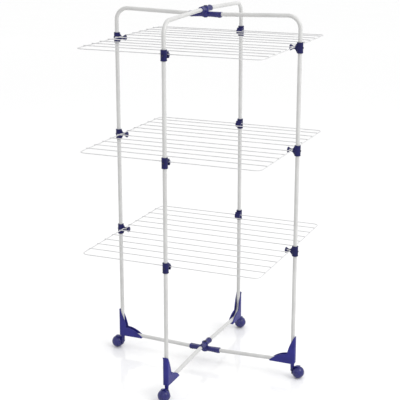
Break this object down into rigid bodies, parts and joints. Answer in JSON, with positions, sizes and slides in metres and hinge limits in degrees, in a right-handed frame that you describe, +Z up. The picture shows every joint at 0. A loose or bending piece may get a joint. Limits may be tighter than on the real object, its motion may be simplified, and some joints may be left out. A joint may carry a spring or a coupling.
{
  "type": "tower clothes drying rack",
  "caption": "Folding tower airer of two crossed white tube frames, with wire shelves between blue plastic hinge fittings and ball casters under blue corner shoes.",
  "frame": {"origin": "on the floor under the vertical pivot axis, midway between the posts", "axes": "+Z up, X across the shelf hinges from the left post to the right post, -Y the front post"},
  "size_m": [0.8816, 0.8816, 1.5036],
  "materials": {
    "tube_coating": "white powder coating, semi-gloss",
    "wire_coating": "white dipped coating, semi-gloss",
    "fitting_plastic": "moulded dark blue plastic with a soft sheen",
    "shoe_plastic": "moulded blue plastic with a soft sheen",
    "caster_plastic": "moulded blue plastic, glossy",
    "inner_plastic": "plain moulded plastic",
    "steel": "zinc-plated steel"
  },
  "bodies": {
    "frame_one": {"frame1_tube_left": "tube_coating", "frame1_tube_right": "tube_coating", "frame1_joiners": "inner_plastic", "frame1_screws": "steel", "top_hub_lower": "fitting_plastic", "top_pivot_pin": "steel", "bottom_hub_lower": "fitting_plastic", "bottom_pivot_pin": "steel", "hinge_bracket_low_left": "fitting_plastic", "hinge_bracket_low_right": "fitting_plastic", "hinge_bracket_middle_left": "fitting_plastic", "hinge_bracket_middle_right": "fitting_plastic", "hinge_bracket_top_left": "fitting_plastic", "hinge_bracket_top_right": "fitting_plastic", "shoe_left": "shoe_plastic", "shoe_right": "shoe_plastic"},
    "frame_two": {"frame2_tube_front": "tube_coating", "frame2_tube_back": "tube_coating", "frame2_joiners": "inner_plastic", "frame2_screws": "steel", "top_hub_upper": "fitting_plastic", "bottom_hub_upper": "fitting_plastic", "snap_clip_low_front": "fitting_plastic", "snap_clip_low_back": "fitting_plastic", "snap_clip_middle_front": "fitting_plastic", "snap_clip_middle_back": "fitting_plastic", "snap_clip_top_front": "fitting_plastic", "snap_clip_top_back": "fitting_plastic", "shoe_front": "shoe_plastic", "shoe_back": "shoe_plastic"},
    "shelf_low_front": {"shelf_low_front_frame": "wire_coating", "shelf_low_front_rods": "wire_coating"},
    "shelf_low_back": {"shelf_low_back_frame": "wire_coating", "shelf_low_back_rods": "wire_coating"},
    "shelf_middle_front": {"shelf_middle_front_frame": "wire_coating", "shelf_middle_front_rods": "wire_coating"},
    "shelf_middle_back": {"shelf_middle_back_frame": "wire_coating", "shelf_middle_back_rods": "wire_coating"},
    "shelf_top_front": {"shelf_top_front_frame": "wire_coating", "shelf_top_front_rods": "wire_coating"},
    "shelf_top_back": {"shelf_top_back_frame": "wire_coating", "shelf_top_back_rods": "wire_coating"},
    "caster_left_swivel": {"caster_left_stem": "steel", "caster_left_hood": "caster_plastic"},
    "caster_left_wheel": {"caster_left_wheels": "caster_plastic", "caster_left_axle": "steel"},
    "caster_right_swivel": {"caster_right_stem": "steel", "caster_right_hood": "caster_plastic"},
    "caster_right_wheel": {"caster_right_wheels": "caster_plastic", "caster_right_axle": "steel"},
    "caster_front_swivel": {"caster_front_stem": "steel", "caster_front_hood": "caster_plastic"},
    "caster_front_wheel": {"caster_front_wheels": "caster_plastic", "caster_front_axle": "steel"},
    "caster_back_swivel": {"caster_back_stem": "steel", "caster_back_hood": "caster_plastic"},
    "caster_back_wheel": {"caster_back_wheels": "caster_plastic", "caster_back_axle": "steel"}
  },
  "joints": [
    {"name": "frame_fold", "type": "hinge", "parent": "frame_one", "child": "frame_two", "pos_m": [0, 0, 0.78], "axis": [0, 0, 1], "range_deg": [0, 74]},
    {"name": "shelf_low_front_fold", "type": "hinge", "parent": "frame_one", "child": "shelf_low_front", "pos_m": [0, -0.007, 0.5495], "axis": [1, 0, 0], "range_deg": [0, 90]},
    {"name": "shelf_low_back_fold", "type": "hinge", "parent": "frame_one", "child": "shelf_low_back", "pos_m": [0, 0.007, 0.5495], "axis": [1, 0, 0], "range_deg": [-90, 0]},
    {"name": "shelf_middle_front_fold", "type": "hinge", "parent": "frame_one", "child": "shelf_middle_front", "pos_m": [0, -0.007, 0.9615], "axis": [1, 0, 0], "range_deg": [0, 90]},
    {"name": "shelf_middle_back_fold", "type": "hinge", "parent": "frame_one", "child": "shelf_middle_back", "pos_m": [0, 0.007, 0.9615], "axis": [1, 0, 0], "range_deg": [-90, 0]},
    {"name": "shelf_top_front_fold", "type": "hinge", "parent": "frame_one", "child": "shelf_top_front", "pos_m": [0, -0.007, 1.3625], "axis": [1, 0, 0], "range_deg": [0, 90]},
    {"name": "shelf_top_back_fold", "type": "hinge", "parent": "frame_one", "child": "shelf_top_back", "pos_m": [0, 0.007, 1.3625], "axis": [1, 0, 0], "range_deg": [-90, 0]},
    {"name": "caster_left_swivel", "type": "hinge", "parent": "frame_one", "child": "caster_left_swivel", "pos_m": [-0.39, 0, 0.06], "axis": [0, 0, 1], "continuous": true},
    {"name": "caster_left_roll", "type": "hinge", "parent": "caster_left_swivel", "child": "caster_left_wheel", "pos_m": [-0.416, 0, 0.025], "axis": [0, 1, 0], "continuous": true},
    {"name": "caster_right_swivel", "type": "hinge", "parent": "frame_one", "child": "caster_right_swivel", "pos_m": [0.39, 0, 0.06], "axis": [0, 0, 1], "continuous": true},
    {"name": "caster_right_roll", "type": "hinge", "parent": "caster_right_swivel", "child": "caster_right_wheel", "pos_m": [0.416, 0, 0.025], "axis": [0, 1, 0], "continuous": true},
    {"name": "caster_front_swivel", "type": "hinge", "parent": "frame_two", "child": "caster_front_swivel", "pos_m": [0, -0.39, 0.06], "axis": [0, 0, 1], "continuous": true},
    {"name": "caster_front_roll", "type": "hinge", "parent": "caster_front_swivel", "child": "caster_front_wheel", "pos_m": [0, -0.416, 0.025], "axis": [1, 0, 0], "continuous": true},
    {"name": "caster_back_swivel", "type": "hinge", "parent": "frame_two", "child": "caster_back_swivel", "pos_m": [0, 0.39, 0.06], "axis": [0, 0, 1], "continuous": true},
    {"name": "caster_back_roll", "type": "hinge", "parent": "caster_back_swivel", "child": "caster_back_wheel", "pos_m": [0, 0.416, 0.025], "axis": [1, 0, 0], "continuous": true}
  ],
  "couplings": [
    {"joint": "shelf_low_front_fold", "follows": "frame_fold", "ratio": 1.2},
    {"joint": "shelf_low_back_fold", "follows": "frame_fold", "ratio": -1.2},
    {"joint": "shelf_middle_front_fold", "follows": "frame_fold", "ratio": 1.2},
    {"joint": "shelf_middle_back_fold", "follows": "frame_fold", "ratio": -1.2},
    {"joint": "shelf_top_front_fold", "follows": "frame_fold", "ratio": 1.2},
    {"joint": "shelf_top_back_fold", "follows": "frame_fold", "ratio": -1.2}
  ]
}
